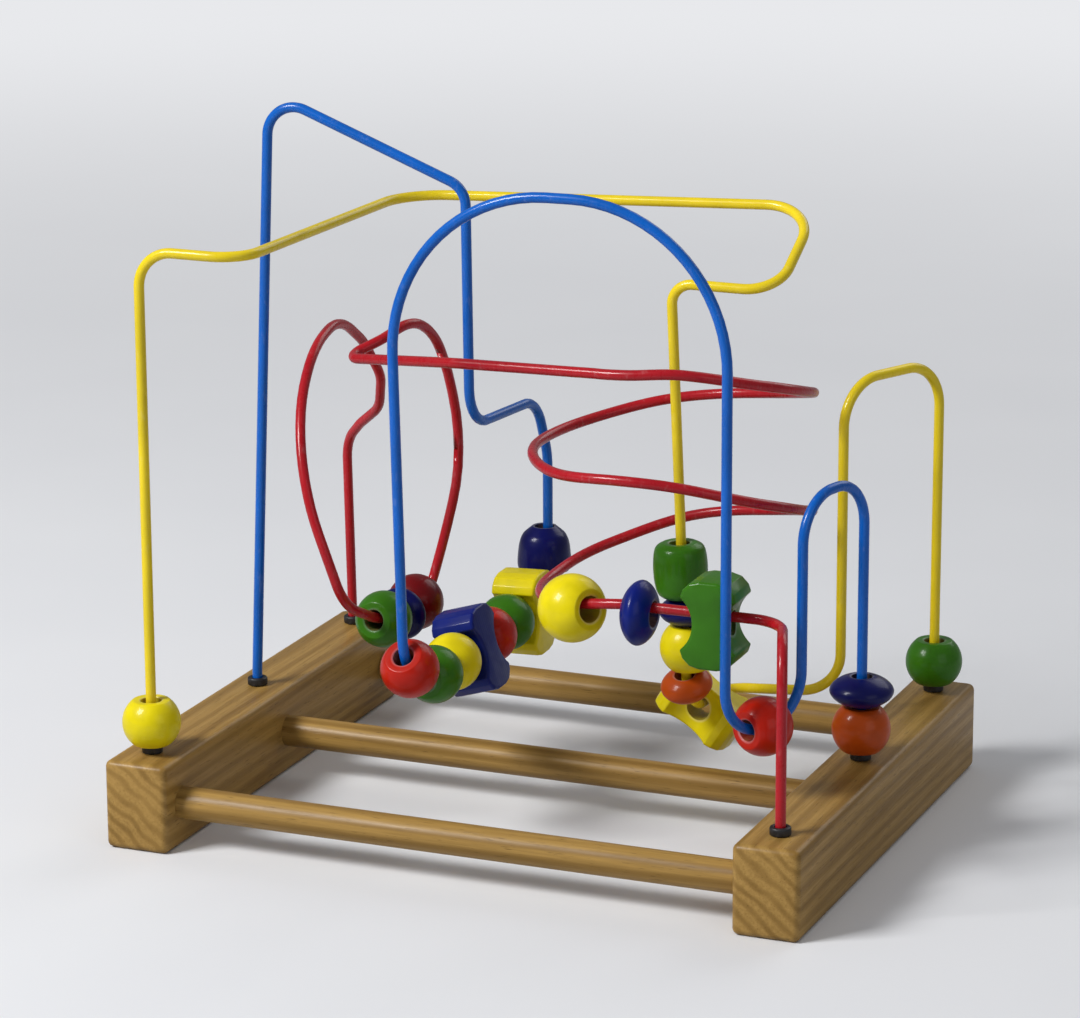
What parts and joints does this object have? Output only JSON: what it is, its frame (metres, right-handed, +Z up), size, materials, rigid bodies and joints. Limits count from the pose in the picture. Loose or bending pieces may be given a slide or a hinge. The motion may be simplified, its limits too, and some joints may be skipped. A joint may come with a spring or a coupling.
{
  "type": "bead maze",
  "caption": "Wooden bead maze: end boards joined by dowel rails carry bent coloured wires with painted beads that slide along them.",
  "frame": {"origin": "bottom centre of the toy, on the floor midway between the end boards", "axes": "+X along the rails to the right, +Y to the back, +Z up"},
  "size_m": [0.28, 0.216, 0.2727],
  "materials": {
    "wood": "clear satin lacquer",
    "blue_wire": "gloss painted",
    "red_wire": "gloss painted",
    "yellow_wire": "gloss painted",
    "cap": "satin",
    "green": "gloss painted",
    "yellow": "gloss painted",
    "red": "gloss painted",
    "dark_red": "gloss painted",
    "orange": "gloss painted",
    "blue": "gloss painted",
    "navy": "gloss painted"
  },
  "bodies": {
    "frame": {"board_left": "wood", "board_right": "wood", "rail_front": "wood", "rail_middle": "wood", "rail_back": "wood", "wire_blue": "blue_wire", "wire_red": "red_wire", "wire_yellow": "yellow_wire", "cap_blue_left": "cap", "cap_blue_right": "cap", "cap_red_left": "cap", "cap_red_right": "cap", "cap_yellow_left": "cap", "cap_yellow_right": "cap"},
    "ball_red_bend": {"ball_red_bend": "red"},
    "ball_green_row_front": {"ball_green_row_front": "green"},
    "ball_yellow_row": {"ball_yellow_row": "yellow"},
    "block_blue_row": {"block_blue_row": "blue"},
    "ball_red_row": {"ball_red_row": "red"},
    "ball_green_row_back": {"ball_green_row_back": "green"},
    "block_yellow_row": {"block_yellow_row": "yellow"},
    "bell_navy": {"bell_navy": "navy"},
    "ball_green_low": {"ball_green_low": "green"},
    "disc_navy_low": {"disc_navy_low": "navy"},
    "ball_red_low": {"ball_red_low": "dark_red"},
    "ball_yellow_large": {"ball_yellow_large": "yellow"},
    "disc_blue_arm": {"disc_blue_arm": "blue"},
    "block_green_arm": {"block_green_arm": "green"},
    "ball_yellow_post": {"ball_yellow_post": "yellow"},
    "disc_navy_post": {"disc_navy_post": "navy"},
    "barrel_green_post": {"barrel_green_post": "green"},
    "disc_orange_post": {"disc_orange_post": "orange"},
    "block_yellow_post": {"block_yellow_post": "yellow"},
    "ball_yellow_foot": {"ball_yellow_foot": "yellow"},
    "ball_green_foot": {"ball_green_foot": "green"},
    "ball_orange_foot": {"ball_orange_foot": "orange"},
    "disc_navy_foot": {"disc_navy_foot": "navy"},
    "ball_red_low_bend": {"ball_red_low_bend": "red"}
  },
  "joints": [
    {"name": "ball_red_bend_travel", "type": "hinge", "parent": "frame", "child": "ball_red_bend", "pos_m": [-0.02991, -0.05223, 0.08671], "axis": [-0.9997, 0.0004, -0.0239], "range_deg": [0, 40]},
    {"name": "ball_green_row_front_slide", "type": "slide", "parent": "frame", "child": "ball_green_row_front", "axis": [0, 0.9999, 0.0147], "range_m": [0, 0.001]},
    {"name": "ball_yellow_row_slide", "type": "slide", "parent": "ball_green_row_front", "child": "ball_yellow_row", "axis": [0, 0.9999, 0.0147], "range_m": [0, 0.001]},
    {"name": "block_blue_row_slide", "type": "slide", "parent": "ball_yellow_row", "child": "block_blue_row", "axis": [0, 0.9999, 0.0147], "range_m": [0, 0.001]},
    {"name": "ball_red_row_slide", "type": "slide", "parent": "block_blue_row", "child": "ball_red_row", "axis": [0, 0.9999, 0.0147], "range_m": [0, 0.001]},
    {"name": "ball_green_row_back_slide", "type": "slide", "parent": "ball_red_row", "child": "ball_green_row_back", "axis": [0, 0.9999, 0.0147], "range_m": [0, 0.001]},
    {"name": "block_yellow_row_slide", "type": "slide", "parent": "ball_green_row_back", "child": "block_yellow_row", "axis": [0, 0.9999, 0.0147], "range_m": [0, 0.001]},
    {"name": "bell_navy_slide", "type": "slide", "parent": "frame", "child": "bell_navy", "axis": [0, 0, 1], "range_m": [0, 0.026]},
    {"name": "ball_green_low_travel", "type": "hinge", "parent": "frame", "child": "ball_green_low", "pos_m": [-0.0799, -0.00033, 0.10879], "axis": [0.9447, 0, 0.328], "range_deg": [-8, 0]},
    {"name": "disc_navy_low_slide", "type": "slide", "parent": "frame", "child": "disc_navy_low", "axis": [0, 1, 0], "range_m": [0, 0.001]},
    {"name": "ball_red_low_slide", "type": "slide", "parent": "disc_navy_low", "child": "ball_red_low", "axis": [0, 1, 0], "range_m": [0, 0.001]},
    {"name": "ball_yellow_large_travel", "type": "hinge", "parent": "frame", "child": "ball_yellow_large", "pos_m": [0.05344, -0.00584, 0.10247], "axis": [-0.1444, 0.0465, 0.9884], "range_deg": [0, 13]},
    {"name": "disc_blue_arm_slide", "type": "slide", "parent": "frame", "child": "disc_blue_arm", "axis": [1, 0, 0], "range_m": [0, 0.008]},
    {"name": "block_green_arm_slide", "type": "slide", "parent": "frame", "child": "block_green_arm", "axis": [1, 0, 0], "range_m": [-0.008, 0.006]},
    {"name": "ball_yellow_post_slide", "type": "slide", "parent": "frame", "child": "ball_yellow_post", "axis": [-0.0436, 0, 0.999], "range_m": [0, 0.028]},
    {"name": "disc_navy_post_slide", "type": "slide", "parent": "ball_yellow_post", "child": "disc_navy_post", "axis": [-0.0436, 0, 0.999], "range_m": [0, 0.028]},
    {"name": "barrel_green_post_slide", "type": "slide", "parent": "disc_navy_post", "child": "barrel_green_post", "axis": [-0.0436, 0, 0.999], "range_m": [0, 0.028]},
    {"name": "disc_orange_post_travel", "type": "hinge", "parent": "frame", "child": "disc_orange_post", "pos_m": [0.05616, 0.01889, 0.06295], "axis": [0.999, -0.0002, 0.0436], "range_deg": [0, 7]},
    {"name": "block_yellow_post_travel", "type": "hinge", "parent": "disc_orange_post", "child": "block_yellow_post", "pos_m": [0.05616, 0.01889, 0.06295], "axis": [0.999, -0.0002, 0.0436], "range_deg": [0, 11]},
    {"name": "ball_yellow_foot_slide", "type": "slide", "parent": "frame", "child": "ball_yellow_foot", "axis": [0, 0, 1], "range_m": [0, 0.15]},
    {"name": "ball_green_foot_slide", "type": "slide", "parent": "frame", "child": "ball_green_foot", "axis": [0, 0, 1], "range_m": [0, 0.09]},
    {"name": "ball_orange_foot_slide", "type": "slide", "parent": "frame", "child": "ball_orange_foot", "axis": [0, 0, 1], "range_m": [0, 0.028]},
    {"name": "disc_navy_foot_slide", "type": "slide", "parent": "ball_orange_foot", "child": "disc_navy_foot", "axis": [0, 0, 1], "range_m": [0, 0.028]},
    {"name": "ball_red_low_bend_travel", "type": "hinge", "parent": "frame", "child": "ball_red_low_bend", "pos_m": [0.10738, -0.05551, 0.0831], "axis": [0.8958, -0.4444, 0], "range_deg": [-32, 32]}
  ]
}
